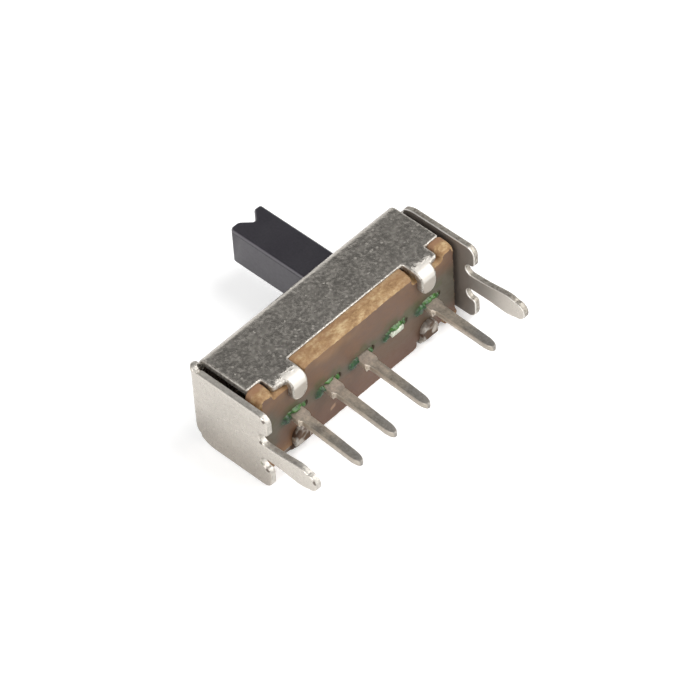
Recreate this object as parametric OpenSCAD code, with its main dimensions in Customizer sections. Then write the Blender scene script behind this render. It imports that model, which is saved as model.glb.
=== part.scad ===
// Miniature slide switch with a folded sheet case, a crimped terminal board,
// solder leads in one row, bracket legs and a long lever.
// It lies on one side wall. +X runs along the travel, +Y points out of the
// lever end, +Z out of the other side wall. The origin is the middle of the
// outer face of the side wall that it lies on.

/* [Case] */
// Length of the two side walls, along the travel
case_len = 11.4; // [10.5:0.1:16]
// Height over the outer faces of the two side walls
case_h = 4.4; // [4:0.1:6]
// Depth from the front face to the rim of the side walls
case_depth = 2.8; // [2.6:0.1:4]
// Thickness of the sheet
sheet_t = 0.3; // [0.2:0.01:0.36]
// Outer radius of the folds round the front face
fold_r = 0.42; // [0.4:0.01:0.6]

/* [End plates and legs] */
// Clear gap between a side wall's end and the end plate
plate_gap = 0.29; // [0.2:0.01:0.5]
// Width of an end plate, across the side walls
plate_h = 4.12; // [3.6:0.01:4.4]
// How far the plate's shoulders stand past the outer face of the board
shoulder_out = 0.83; // [0.6:0.01:1.2]
// Radius of the shoulders' outer corners
shoulder_r = 0.42; // [0.2:0.01:0.5]
// Radius of the shoulders' inner corners, next to the leg
shoulder_in_r = 0.24; // [0.1:0.01:0.3]
// Radius of the lower front corner of an end plate
plate_corner_r = 1.1; // [0.3:0.01:1.2]
// Radius of the upper front corner of an end plate
plate_top_r = 0.7; // [0.2:0.01:0.8]
// Length of a leg past the shoulders
leg_len = 2.75; // [2:0.05:4]
// Width of a leg at its root
leg_root_w = 0.84; // [0.6:0.01:1]
// Width of a leg at its widest, near the tip
leg_w = 1.1; // [1:0.01:1.3]
// Length of the rounded end of a leg
leg_tip_len = 1.05; // [0.9:0.05:1.6]
// Radius of the leg's tip
leg_tip_r = 0.38; // [0.2:0.01:0.45]
// Radius of the round reliefs beside the leg's root
relief_r = 0.3; // [0.2:0.01:0.36]
// Depth of the reliefs, from the shoulders' ends
relief_depth = 0.5; // [0.4:0.01:0.7]

/* [Crimp tabs] */
// Distance from a side wall's end to the centre line of a tab
tab_in = 1.85; // [1.6:0.01:2.1]
// Width of a tab
tab_w = 0.9; // [0.7:0.01:0.94]
// Reach of a folded tab over the board, from the case's outer face
tab_reach = 1.2; // [1.15:0.01:1.6]
// Outer radius of the tab's fold
tab_fold_r = 0.52; // [0.4:0.01:0.6]
// Length of the board's ears, from a side wall's end to its raised shoulder
ear_len = 0.82; // [0.6:0.01:0.9]
// Play round the board inside the case
board_play = 0.06; // [0.03:0.01:0.1]

/* [Terminal board] */
// Thickness of the board
board_t = 0.8; // [0.6:0.01:1.2]
// How far the board stands past each end of the side walls
board_over = 0.06; // [0:0.01:0.15]
// Corner radius of the board
board_corner_r = 0.22; // [0.1:0.01:0.4]
// Board left between neighbouring sealing recesses
recess_gap = 0.3; // [0.2:0.01:0.6]
// Width of a sealing recess
recess_w = 0.5; // [0.44:0.01:0.7]
// Depth of a sealing recess
recess_depth = 0.4; // [0.2:0.01:0.5]
// Play of a terminal in its slot
slot_play = 0.03; // [0.02:0.01:0.06]

/* [Terminals] */
// Distance between neighbouring terminal places
pitch = 2; // [1.6:0.01:2.1]
// Thickness of the terminal strip
strip_t = 0.28; // [0.2:0.01:0.3]
// Length of a lead past the outer face of the board
lead_len = 3.82; // [3:0.01:6]
// Width of a lead where it leaves the neck
lead_w = 0.5; // [0.4:0.01:0.6]
// Width of a lead at its tip
lead_tip_w = 0.42; // [0.3:0.01:0.5]
// Width of the neck where a terminal leaves the board
neck_w = 0.7; // [0.6:0.01:0.8]
// Length of the neck past the outer face of the board
neck_len = 0.55; // [0.4:0.01:0.8]
// Length of the cut-off stub past the outer face of the board
stub_len = 0.16; // [0.1:0.01:0.4]
// Gap between neighbouring contact blades inside
blade_gap = 0.5; // [0.3:0.01:0.8]
// Height of the contact blade above the board
blade_h = 0.9; // [0.6:0.01:1.1]
// Side of the small burr beside a neck
burr = 0.16; // [0.1:0.01:0.2]

/* [Slider] */
// Lever width along the travel
lever_w = 1.84; // [1.4:0.01:2.2]
// Lever thickness across the case
lever_h = 1.9; // [1.4:0.01:2.2]
// Lever length past the front face
lever_len = 4.88; // [2:0.01:8]
// Radius of the lever's long edges
lever_edge_r = 0.1; // [0.05:0.01:0.2]
// Width of the notch in the lever's tip
notch_w = 0.9; // [0.5:0.01:1.1]
// Depth of the notch in the lever's tip
notch_depth = 0.42; // [0.2:0.01:0.6]
// Room left past the carriage at each end of its travel
carriage_room = 0.3; // [0.2:0.01:0.6]
// Thickness of the carriage under the front face
carriage_t = 1.4; // [1.2:0.01:1.6]
// Width of each of the carriage's side rails
rail_w = 0.6; // [0.4:0.01:0.8]
// Running play between the slider and what guides it
slide_play = 0.06; // [0.04:0.01:0.1]
// Play between the lever and the ends of its slot
slot_end_play = 0.12; // [0.08:0.01:0.3]

/* [Moving contact] */
// Thickness of the contact strip
clip_t = 0.15; // [0.1:0.01:0.2]
// Length of a gripping finger, along the travel
finger_w = 0.8; // [0.5:0.01:1]
// Gap between a finger and the blade that it grips
grip_gap = 0.02; // [0.01:0.01:0.04]

/* [Hidden] */

$fn = 48;
// A hair of overlap, so that a cut leaves no skin
hair = 0.1;

// Heights across the case
mid_z = case_h / 2;
front_y = case_depth / 2;
rim_y = -case_depth / 2;
board_out_y = rim_y - board_t;

// End plates
plate_out_x = case_len / 2 + plate_gap + sheet_t;
plate_low_z = mid_z - plate_h / 2;
plate_high_z = mid_z + plate_h / 2;
shoulder_y = board_out_y - shoulder_out;
leg_tip_y = shoulder_y - leg_len;

// Crimp tabs and the board between them
tab_x = case_len / 2 - tab_in;
ear_x = case_len / 2 - ear_len;
board_len = case_len + 2 * board_over;
tongue_x = tab_x - tab_w / 2 - board_play;
tab_fold_y = board_out_y - sheet_t + tab_fold_r;

// Terminals, counted from the middle place
recess_len = pitch - recess_gap;
blade_w = pitch - blade_gap;
lead_tip_y = board_out_y - lead_len;
blade_top_y = rim_y + blade_h;
fillet_r = (neck_w - lead_w) / 2;

// Slider, drawn at the middle of its travel and moved to its rest place
travel = pitch;
rest_x = travel;
slot_half_x = travel + lever_w / 2 + slot_end_play;
slot_h = lever_h + 2 * slide_play;
carriage_len = case_len - 2 * (travel + carriage_room);
carriage_top_y = front_y - sheet_t - slide_play;
carriage_low_y = carriage_top_y - carriage_t;
carriage_h = case_h - 2 * sheet_t - 2 * slide_play;
rail_low_y = rim_y + slide_play;

// Moving contact
finger_in = strip_t / 2 + grip_gap;
clip_half_z = finger_in + clip_t;
clip_half_x = pitch + finger_w / 2;
clip_top_y = carriage_low_y + carriage_t / 2;
clip_low_y = rim_y + slide_play;

// Outline of a rectangle about the origin with four round corners
module round_rect(w, h, r) {
    square([w - 2 * r, h], center = true);
    square([w, h - 2 * r], center = true);
    for (sx = [-1, 1], sy = [-1, 1]) {
        translate([sx * (w / 2 - r), sy * (h / 2 - r)]) circle(r);
    }
}

// Stands an outline drawn in the Y and Z directions on its place along X
module along_x(from_x, length) {
    translate([from_x, 0, 0]) rotate([90, 0, 90]) linear_extrude(length) children();
}

// Extrudes an outline drawn in X and Y, about the height z
module across_z(z, thickness) {
    translate([0, 0, z - thickness / 2]) linear_extrude(thickness) children();
}

// A quarter fold of the sheet about the Z axis, from the +X side to the +Y side
module quarter_fold(r, length) {
    rotate_extrude(angle = 90) translate([r - sheet_t, 0]) square([sheet_t, length]);
}

// What rounds off a square corner at the origin that points to +X and +Y
module corner_off(r) {
    difference() {
        translate([-r, -r]) square([r + hair, r + hair]);
        translate([-r, -r]) circle(r);
    }
}

// The upper side wall as an outline in X and Y. Its raised shoulders reach the
// board's outer face beside a tab, and the start of the tab's fold behind it.
module wall_outline() {
    translate([-case_len / 2, rim_y]) square([case_len, case_depth - fold_r]);
    for (s = [-1, 1]) {
        near = tab_x - tab_w / 2;
        far = tab_x + tab_w / 2;
        x0 = s > 0 ? near : -ear_x;
        x1 = s > 0 ? far : -ear_x;
        translate([x0, tab_fold_y]) square([ear_x - near, rim_y + hair - tab_fold_y]);
        translate([x1, board_out_y]) square([ear_x - far, board_t + hair]);
    }
}

// One crimp tab of the upper wall, folded down over the board
module crimp_tab(s) {
    flat_h = tab_reach - tab_fold_r - tab_w / 2;
    translate([s * tab_x - tab_w / 2, tab_fold_y, case_h - tab_fold_r])
        rotate([0, 90, 0]) rotate([0, 0, 180])
        quarter_fold(tab_fold_r, tab_w);
    translate([s * tab_x, board_out_y, case_h - tab_fold_r])
        rotate([90, 0, 0]) linear_extrude(sheet_t) {
            translate([-tab_w / 2, -flat_h]) square([tab_w, flat_h]);
            intersection() {
                translate([0, -flat_h]) circle(tab_w / 2);
                translate([-tab_w / 2, -flat_h - tab_w / 2]) square([tab_w, tab_w / 2]);
            }
        }
}

// The upper side wall, its fold to the front face and its crimp tabs
module side_wall() {
    across_z(case_h - sheet_t / 2, sheet_t) wall_outline();
    translate([-case_len / 2, front_y - fold_r, case_h - fold_r])
        rotate([90, 0, 90]) quarter_fold(fold_r, case_len);
    for (s = [-1, 1]) crimp_tab(s);
}

// Outline of an end plate in Y and Z, with its shoulders, reliefs and leg
module plate_outline() {
    relief_z = leg_root_w / 2 + relief_r;
    relief_y = shoulder_y + relief_depth - relief_r;
    difference() {
        translate([shoulder_y, plate_low_z])
            square([front_y - fold_r - shoulder_y, plate_h]);
        for (s = [0, 1]) {
            translate([0, mid_z]) mirror([0, s]) {
                translate([relief_y, relief_z]) circle(relief_r);
                translate([shoulder_y - hair, relief_z - relief_r])
                    square([relief_y - shoulder_y + hair, 2 * relief_r]);
                translate([shoulder_y, plate_h / 2]) mirror([1, 0]) corner_off(shoulder_r);
                translate([shoulder_y, relief_z + relief_r]) rotate(180)
                    corner_off(shoulder_in_r);
            }
        }
    }
    leg_outline();
}

// Outline of a leg: it widens from its root and ends in a rounded point
module leg_outline() {
    wide_y = leg_tip_y + leg_tip_len;
    tip_y = leg_tip_y + leg_tip_r;
    polygon([
        [shoulder_y + relief_depth, mid_z - leg_root_w / 2],
        [shoulder_y + relief_depth, mid_z + leg_root_w / 2],
        [shoulder_y - 0.1 * leg_len, mid_z + leg_root_w / 2],
        [wide_y, mid_z + leg_w / 2],
        [tip_y, mid_z + leg_tip_r],
        [tip_y, mid_z - leg_tip_r],
        [wide_y, mid_z - leg_w / 2],
        [shoulder_y - 0.1 * leg_len, mid_z - leg_root_w / 2]
    ]);
    translate([tip_y, mid_z]) circle(leg_tip_r);
}

// What rounds off the two front corners of an end plate and its fold
module plate_corner_cut() {
    along_x(case_len / 2, plate_gap + sheet_t + hair) {
        translate([front_y, plate_high_z]) corner_off(plate_top_r);
        translate([front_y, plate_low_z]) mirror([0, 1]) corner_off(plate_corner_r);
    }
}

// The end plate at the +X end with its fold to the front face
module end_plate() {
    difference() {
        union() {
            along_x(plate_out_x - sheet_t, sheet_t) plate_outline();
            translate([plate_out_x - fold_r, front_y - fold_r, plate_low_z])
                quarter_fold(fold_r, plate_h);
            translate([case_len / 2, front_y - sheet_t, plate_low_z])
                cube([plate_out_x - fold_r - case_len / 2, sheet_t, plate_h]);
        }
        plate_corner_cut();
    }
}

// The case: one folded sheet, with the slot for the lever in its front face
module case() {
    color([0.66, 0.65, 0.62]) difference() {
        union() {
            side_wall();
            translate([0, 0, case_h]) mirror([0, 0, 1]) side_wall();
            translate([-case_len / 2, front_y - sheet_t, fold_r])
                cube([case_len, sheet_t, case_h - 2 * fold_r]);
            end_plate();
            mirror([1, 0, 0]) end_plate();
        }
        translate([-slot_half_x, front_y - sheet_t - hair, mid_z - slot_h / 2])
            cube([2 * slot_half_x, sheet_t + 2 * hair, slot_h]);
    }
}

// Outline of the terminal board in X and Z, notched for the walls' shoulders
module board_outline() {
    notch_len = ear_x + board_play - tongue_x;
    notch_deep = sheet_t + board_play;
    difference() {
        translate([0, mid_z]) round_rect(board_len, case_h, board_corner_r);
        for (sx = [-1, 1], sz = [-1, 1]) {
            translate([sx * (tongue_x + notch_len / 2), mid_z + sz * (case_h / 2)])
                square([notch_len, 2 * notch_deep], center = true);
        }
    }
}

// Round-ended recess in the board for the sealant of one terminal place
module recess(place, grow) {
    translate([place * pitch, board_out_y - grow, mid_z]) rotate([-90, 0, 0])
        linear_extrude(recess_depth + grow) {
            square([recess_len - recess_w, recess_w], center = true);
            for (s = [-1, 1]) {
                translate([s * (recess_len - recess_w) / 2, 0]) circle(recess_w / 2);
            }
        }
}

// Rectangular slot that a terminal passes through
module terminal_slot(place, play) {
    w = neck_w + 2 * play;
    h = strip_t + 2 * play;
    translate([place * pitch - w / 2, board_out_y - hair, mid_z - h / 2])
        cube([w, board_t + 2 * hair, h]);
}

module terminal_board() {
    color([0.48, 0.35, 0.28]) difference() {
        translate([0, rim_y, 0]) rotate([90, 0, 0]) linear_extrude(board_t) board_outline();
        for (place = [-2:2]) {
            recess(place, hair);
            terminal_slot(place, slot_play);
        }
    }
}

// Sealing compound round one terminal, filling its recess
module sealant(place) {
    color([0.16, 0.42, 0.18]) difference() {
        recess(place, 0);
        terminal_slot(place, 0);
    }
}

// Neck and blade of a terminal at one place, down to the height end_y
module terminal_neck(place, end_y) {
    x = place * pitch;
    translate([x - neck_w / 2, end_y]) square([neck_w, blade_top_y - end_y]);
    translate([x - blade_w / 2, rim_y]) square([blade_w, blade_h]);
}

// A whole terminal: blade, neck, filleted step, tapered lead and round tip
module terminal_outline(place) {
    x = place * pitch;
    neck_y = board_out_y - neck_len;
    tip_r = lead_tip_w / 2;
    terminal_neck(place, neck_y);
    polygon([
        [x - lead_w / 2, neck_y + fillet_r],
        [x + lead_w / 2, neck_y + fillet_r],
        [x + lead_w / 2, neck_y - fillet_r],
        [x + tip_r, lead_tip_y + tip_r],
        [x - tip_r, lead_tip_y + tip_r],
        [x - lead_w / 2, neck_y - fillet_r]
    ]);
    translate([x, lead_tip_y + tip_r]) circle(tip_r);
    for (s = [-1, 1]) difference() {
        translate([x + s * (lead_w / 2 + fillet_r / 2), neck_y - fillet_r / 2])
            square([fillet_r, fillet_r], center = true);
        translate([x + s * (lead_w / 2 + fillet_r), neck_y - fillet_r]) circle(fillet_r);
    }
}

// Small burr that staking leaves at the lower edge of a neck
module stake_burr(place) {
    x = place * pitch - neck_w / 2;
    translate([x - burr / 4, board_out_y - neck_len, mid_z - strip_t / 2 - burr])
        cube([burr, burr, burr + strip_t / 2]);
}

module terminal(place) {
    color([0.62, 0.57, 0.51]) {
        across_z(mid_z, strip_t) terminal_outline(place);
        stake_burr(place);
    }
}

// The common terminal: one lead, and a second place whose lead is cut off
module terminal_common() {
    color([0.62, 0.57, 0.51]) {
        across_z(mid_z, strip_t) {
            terminal_outline(0);
            terminal_neck(1, board_out_y - stub_len);
            translate([0, rim_y]) square([pitch, blade_h]);
        }
        stake_burr(0);
    }
}

// Cross-section of the lever in X and Z, drawn out along Y
module lever() {
    translate([0, front_y + lever_len, mid_z]) rotate([90, 0, 0])
        linear_extrude(lever_len + sheet_t + 2 * slide_play)
        round_rect(lever_w, lever_h, lever_edge_r);
}

// Wedge that cuts the notch in the lever's tip
module tip_notch() {
    tip_y = front_y + lever_len;
    across_z(mid_z, case_h) polygon([
        [-notch_w / 2, tip_y],
        [-notch_w / 2, tip_y + hair],
        [notch_w / 2, tip_y + hair],
        [notch_w / 2, tip_y],
        [0, tip_y - notch_depth]
    ]);
}

// Carriage: a block under the front face with two side rails
module carriage() {
    translate([-carriage_len / 2, carriage_low_y, mid_z - carriage_h / 2])
        cube([carriage_len, carriage_t, carriage_h]);
    for (z0 = [mid_z - carriage_h / 2, mid_z + carriage_h / 2 - rail_w]) {
        translate([-carriage_len / 2, rail_low_y, z0])
            cube([carriage_len, carriage_low_y - rail_low_y + hair, rail_w]);
    }
}

// Pocket in the carriage that holds the moving contact
module clip_pocket() {
    half_x = clip_half_x + slide_play;
    half_z = clip_half_z + slide_play;
    translate([-half_x, carriage_low_y - hair, mid_z - half_z])
        cube([2 * half_x, clip_top_y - carriage_low_y + hair, 2 * half_z]);
}

module slider() {
    color([0.15, 0.15, 0.16]) translate([rest_x, 0, 0]) difference() {
        union() {
            carriage();
            lever();
        }
        tip_notch();
        clip_pocket();
    }
}

// Moving contact: a back strip with two pairs of gripping fingers
module moving_contact() {
    color([0.78, 0.6, 0.34]) translate([rest_x, 0, 0]) {
        translate([-clip_half_x, clip_top_y - clip_t, mid_z - clip_half_z])
            cube([2 * clip_half_x, clip_t, 2 * clip_half_z]);
        for (s = [-1, 1], z0 = [mid_z - clip_half_z, mid_z + finger_in]) {
            translate([s * pitch - finger_w / 2, clip_low_y, z0])
                cube([finger_w, clip_top_y - clip_low_y, clip_t]);
        }
    }
}

case();
terminal_board();
terminal(-2);  // terminal_1
terminal(-1);  // terminal_2
terminal_common();
terminal(2);  // terminal_3
sealant(-2);  // sealant_1
sealant(-1);  // sealant_2
sealant(0);  // sealant_3
sealant(1);  // sealant_4
sealant(2);  // sealant_5
slider();
moving_contact();
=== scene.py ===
"""Miniature slide switch: folded sheet case, laminate board, leads, sealing compound and slider."""

import math

import bmesh
import bpy
from bpy.props import FloatProperty, FloatVectorProperty, IntProperty, PointerProperty
from mathutils import Matrix, Vector, geometry, noise


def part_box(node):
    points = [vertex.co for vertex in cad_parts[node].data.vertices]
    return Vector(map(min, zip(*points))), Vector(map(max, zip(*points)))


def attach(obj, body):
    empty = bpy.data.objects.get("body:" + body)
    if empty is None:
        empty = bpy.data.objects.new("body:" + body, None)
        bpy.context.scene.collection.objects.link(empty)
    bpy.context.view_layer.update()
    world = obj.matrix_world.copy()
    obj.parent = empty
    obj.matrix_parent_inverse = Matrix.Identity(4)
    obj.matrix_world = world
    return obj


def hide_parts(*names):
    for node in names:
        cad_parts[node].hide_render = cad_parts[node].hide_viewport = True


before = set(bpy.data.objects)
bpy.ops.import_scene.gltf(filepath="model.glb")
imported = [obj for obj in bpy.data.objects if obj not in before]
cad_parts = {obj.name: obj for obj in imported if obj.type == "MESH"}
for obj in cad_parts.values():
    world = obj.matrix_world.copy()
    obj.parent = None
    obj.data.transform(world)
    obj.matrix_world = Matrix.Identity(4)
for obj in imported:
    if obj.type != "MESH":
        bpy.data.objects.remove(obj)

bl_info = {
    "name": "Slide switch",
    "version": (1, 0, 0),
    "blender": (4, 5, 0),
    "location": "3D view > Sidebar > Slide switch",
    "description": "Builds a miniature slide switch piece by piece, with its studio",
    "category": "Object",
}

MM = 0.001
PLACES = (-2, -1, 0, 1, 2)  # the terminal places, counted from the middle one

# What follows is in millimetres, apart from one angle in radians and one share.
# Sizes of the CAD model that no node's box tells: the lever and its play in the slot, the
# board's notches round the tabs, the carriage below the front face, and the contact's pocket.
LEVER_WIDE, LEVER_THICK, END_PLAY, SIDE_PLAY = 1.84, 1.9, 0.12, 0.06
NOTCH_NEAR, NOTCH_FAR, NOTCH_DEEP = 3.4, 4.88, 0.3
CARRIAGE_TOP, CARRIAGE_THICK, RAIL = 0.36, 1.4, 0.6
POCKET_HALF, POCKET_HALF_Z, POCKET_DEEP = 2.46, 0.37, 0.7

# How the folded case departs from perfect folds.
LEAD_IN = 0.28  # radians by which a wall leans in where a tab's fold starts
SAG = 0.42  # length over which it does so
TAB_FLAT = 0.2  # share by which the lower tabs' folds are pressed flat
SWELL_LEFT, SWELL_RIGHT, SWELL_LOBE = 0.05, 0.03, 0.03  # bulge of the plates' folds
LEG_LEANS_OUT, LEG_LEANS_UP = 0.01, 0.02  # of the right leg, for each millimetre of length
LEFT_LEG_SHORT = 0.1  # how much shorter the left leg ends

# Smaller sizes of the board, the sealing compound and the leads.
SLOT_IN_BOARD_PLAY = 0.06
SEALANT_LONG, SEALANT_WIDE = 1.94, 0.78
BURR = 0.13  # how far the burr at a neck's step stands under the strip


# ---------------------------------------------------------------- properties


def length(name, description, default, low=0.0, high=1.0):
    """A length in metres."""
    return FloatProperty(
        name=name,
        description=description,
        default=default,
        min=low,
        max=high,
        precision=6,
        subtype="DISTANCE",
        unit="LENGTH",
    )


def number(name, description, default, low=0.0, high=1.0):
    """A plain number, such as an angle in degrees or a strength."""
    return FloatProperty(
        name=name, description=description, default=default, min=low, max=high, precision=3
    )


def colour(name, description, default):
    """A colour, in linear light."""
    return FloatVectorProperty(
        name=name, description=description, default=default, min=0.0, max=1.0, subtype="COLOR"
    )


class CaseSettings(bpy.types.PropertyGroup):
    sheet: length("Sheet", "Thickness of the sheet", 0.0003)
    fold: length("Fold radius", "Outer radius of the folds round the front face", 0.00042)
    wall: length("Wall length", "Length of the side walls", 0.0114)
    depth: length("Depth", "From the front face to the rim of the walls", 0.0028)
    plate: length("Plate width", "Width of the end plates", 0.00412)
    shoulder: length("Shoulder radius", "Radius of the shoulders' outer corners", 0.00042)
    shoulder_in: length("Shoulder inner radius", "Radius of their corners by the leg", 0.00024)
    corner: length("Lower corner", "Radius of a plate's lower front corner", 0.0012)
    corner_top: length("Upper corner", "Radius of a plate's upper front corner", 0.0011)
    lobe: length("Lobe", "Height of the lobe over the left plate's upper edge", 0.00016)
    flare: length("Flare", "How far the right plate stands out", 0.00008)
    leg: length("Leg", "Length of a leg past the shoulders", 0.00275)
    leg_root: length("Leg root", "Width of a leg at its root", 0.00084)
    leg_wide: length("Leg width", "Width of a leg near its tip", 0.0011)
    drop: length("Drop", "How far the left plate's lower edge hangs", 0.0001)
    relief: length("Relief", "Radius of the round reliefs beside a leg", 0.0003)
    relief_deep: length("Relief depth", "Depth of the reliefs from the shoulders' ends", 0.0005)
    tab: length("Tab width", "Width of a crimp tab", 0.00087)
    tab_place: length("Tab place", "From the middle to a tab's centre line", 0.00385)
    tab_off: length("Tab offset", "How far the tabs sit off their places", 0.00009)
    tab_reach: length("Tab reach", "Reach of a folded tab over the board", 0.0012)
    tab_fold: length("Tab fold", "Outer radius of a tab's fold", 0.00043)
    ear: length("Shoulder end", "From the middle to the end of a wall's raised shoulder", 0.00488)
    edge: length("Edge break", "Rounding of the cut edges inside", 0.00002)
    roll: length("Edge roll", "Rounding of the cut edges outside", 0.00007)
    slit: length("Relief slit", "Width of the slit between a wall and an end plate", 0.00006)
    plating: colour("Plating", "Colour of the plated sheet", (0.60, 0.575, 0.54))


class BoardSettings(bpy.types.PropertyGroup):
    thickness: length("Thickness", "Thickness of the board", 0.0008)
    play: length("Play", "Play round the board inside the case", 0.00006)
    corner: length("Corner", "Corner radius of the board", 0.00034)
    recess: length("Recess length", "Length of a sealing recess", 0.0015)
    recess_width: length("Recess width", "Width of a sealing recess", 0.00036)
    recess_depth: length("Recess depth", "Depth of a sealing recess", 0.0004)
    torn: length("Torn edge", "How far the punched edge breaks back", 0.00011)
    ear_out: length("Ear reach", "How far the board's ends stand past the walls", 0.00007)
    face: colour("Face", "Colour of the board's face", (0.20, 0.112, 0.073))
    pulp: colour("Pulp", "Colour of the torn edge", (0.47, 0.29, 0.14))


class TerminalSettings(bpy.types.PropertyGroup):
    pitch: length("Pitch", "Distance between neighbouring places", 0.002)
    strip: length("Strip", "Thickness of the strip", 0.00028)
    lead: length("Lead width", "Width of a lead below its neck", 0.0005)
    tip: length("Tip width", "Width of a lead at its tip", 0.00042)
    neck: length("Neck width", "Width of a neck", 0.0007)
    neck_length: length("Neck length", "Length of a neck past the board", 0.00055)
    stub: length("Stub", "Length of the cut-off stub past the board", 0.00016)
    blade: length("Blade width", "Width of a contact blade", 0.0015)
    blade_height: length("Blade height", "Height of a contact blade", 0.0009)
    seat: length("Seat", "How far the terminals sit off the middle of their places", 0.0001)
    lean_1: length("Lean 1", "How far lead 1 leans at its tip", 0.00012)
    lean_2: length("Lean 2", "How far lead 2 leans at its tip", 0.00011)
    lean_3: length("Lean 3", "How far the middle lead leans at its tip", 0.00011)
    lean_5: length("Lean 5", "How far the last lead leans at its tip", 0.00013)
    droop: length("Droop", "How far the first leads hang at their tips", 0.00014)
    tin: colour("Tin", "Colour of the tinned strip", (0.53, 0.47, 0.39))


class SealantSettings(bpy.types.PropertyGroup):
    sunk: length("Sunk", "How far the thin compound lies below the board's face", 0.00002)
    lumps: length("Lumps", "Height of the lumps over the board's face", 0.00012)
    creep: length("Creep", "How far it creeps up a neck", 0.0001)
    seed: IntProperty(name="Seed", description="Pattern of the lumps", default=7, min=0)
    green: colour("Green", "Colour of the compound where it is thin", (0.062, 0.190, 0.020))


class SliderSettings(bpy.types.PropertyGroup):
    width: length("Lever width", "Lever width along the travel", 0.00188)
    height: length("Lever thickness", "Lever thickness across the case", 0.00194)
    notch: length("Notch width", "Width of the notch in the tip", 0.0009)
    notch_depth: length("Notch depth", "Depth of the notch in the tip", 0.00053)
    notch_off: length("Notch offset", "How far the notch lies off the lever's middle", 0.00005)
    edge: length("Edge radius", "Radius of the lever's long edges", 0.0001)
    plastic: colour("Plastic", "Colour of the lever", (0.021, 0.018, 0.026))


class StageSettings(bpy.types.PropertyGroup):
    lens: number("Lens", "Focal length on a 36 mm wide sensor", 230.3, 10, 500)
    distance: length("Distance", "From the camera to its aim", 0.18408)
    azimuth: number("Azimuth", "Camera azimuth in degrees", -43.828, -180, 180)
    elevation: number("Elevation", "Camera elevation in degrees", 48.01, -90, 90)
    roll: number("Roll", "Camera roll in degrees", -3.857, -90, 90)
    key: number("Key", "Power of the main lamp in watts", 1.3, 0, 50)
    top: number("Top", "Power of the second lamp in watts", 1.45, 0, 50)
    fill: number("Fill", "Power of the fill lamp in watts", 0.65, 0, 50)
    zenith: number("Zenith", "Brightness of the studio overhead", 0.115, 0, 5)
    horizon: number("Horizon", "Brightness of the studio walls", 0.95, 0, 5)


# ------------------------------------------------------------------- outlines


def arc(cx, cy, r, start, end, steps=8):
    """Points on an arc; the angles are in degrees."""
    out = []
    for i in range(steps + 1):
        a = math.radians(start + (end - start) * i / steps)
        out.append((cx + r * math.cos(a), cy + r * math.sin(a)))
    return out


def clean(loop, gap=1e-4):
    """The loop without repeated points."""
    out = []
    for p in loop:
        if not out or math.dist(p, out[-1]) > gap:
            out.append(p)
    while len(out) > 1 and math.dist(out[0], out[-1]) <= gap:
        out.pop()
    return out


def area(loop):
    """Signed area, above zero for a counterclockwise loop."""
    return 0.5 * sum(a[0] * b[1] - b[0] * a[1] for a, b in zip(loop, loop[1:] + loop[:1]))


def turned(loop, left):
    """The loop with its material on the left: counterclockwise outside, clockwise for a hole."""
    loop = clean(loop)
    return loop if (area(loop) > 0) == left else loop[::-1]


def spaced(loop, step):
    """The loop with its long sides divided."""
    out = []
    for a, b in zip(loop, loop[1:] + loop[:1]):
        n = max(1, int(math.ceil(math.dist(a, b) / step)))
        out += [(a[0] + (b[0] - a[0]) * i / n, a[1] + (b[1] - a[1]) * i / n) for i in range(n)]
    return out


def rounded(points, radii, steps=5, most=0.49):
    """A loop through the points, with each corner rounded by its own radius."""
    out = []
    n = len(points)
    for i in range(n):
        a, p, b = Vector(points[i - 1]), Vector(points[i]), Vector(points[(i + 1) % n])
        r = radii[i] if hasattr(radii, "__len__") else radii
        d1, d2 = (a - p).normalized(), (b - p).normalized()
        cos = max(-0.9999, min(0.9999, d1.dot(d2)))
        half = math.acos(cos) / 2
        if r <= 0 or half > 1.55:
            out.append(tuple(p))
            continue
        reach = min(r / math.tan(half), most * (a - p).length, most * (b - p).length)
        r = reach * math.tan(half)
        centre = p + (d1 + d2).normalized() * (r / math.sin(half))
        s, e = p + d1 * reach - centre, p + d2 * reach - centre
        a0, a1 = math.atan2(s.y, s.x), math.atan2(e.y, e.x)
        turn = (a1 - a0 + math.pi) % (2 * math.pi) - math.pi
        for k in range(steps + 1):
            t = a0 + turn * k / steps
            out.append((centre.x + r * math.cos(t), centre.y + r * math.sin(t)))
    return out


def stadium(cx, cy, w, h, steps=8):
    """A slot's outline, with round ends."""
    r, d = h / 2, (w - h) / 2
    return arc(cx + d, cy, r, -90, 90, steps) + arc(cx - d, cy, r, 90, 270, steps)


def box_loop(cx, cy, w, h):
    """A rectangle round its centre."""
    return [(cx + a * w / 2, cy + b * h / 2) for a, b in ((-1, -1), (1, -1), (1, 1), (-1, 1))]


def grid(corner, step, counts):
    """Points in rows and columns, from a corner on."""
    return [
        (corner[0] + step[0] * i, corner[1] + step[1] * j)
        for i in range(counts[0])
        for j in range(counts[1])
    ]


def held(value, low=0.0, high=1.0):
    """The value, kept between low and high."""
    return max(low, min(high, value))


def inside(p, loop):
    """Whether a point lies inside a loop."""
    hit = False
    for a, b in zip(loop, loop[1:] + loop[:1]):
        if (a[1] > p[1]) != (b[1] > p[1]):
            if p[0] < a[0] + (p[1] - a[1]) * (b[0] - a[0]) / (b[1] - a[1]):
                hit = not hit
    return hit


def inward(loop):
    """For each corner, the mitred direction into the material."""
    out = []
    n = len(loop)
    for i in range(n):
        a, p, b = Vector(loop[i - 1]), Vector(loop[i]), Vector(loop[(i + 1) % n])
        e1, e2 = (p - a).normalized(), (b - p).normalized()
        n1, n2 = Vector((-e1.y, e1.x)), Vector((-e2.y, e2.x))
        out.append((n1 + n2) / max(0.5, 1 + n1.dot(n2)))
    return out


# --------------------------------------------------------------------- solids


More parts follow.
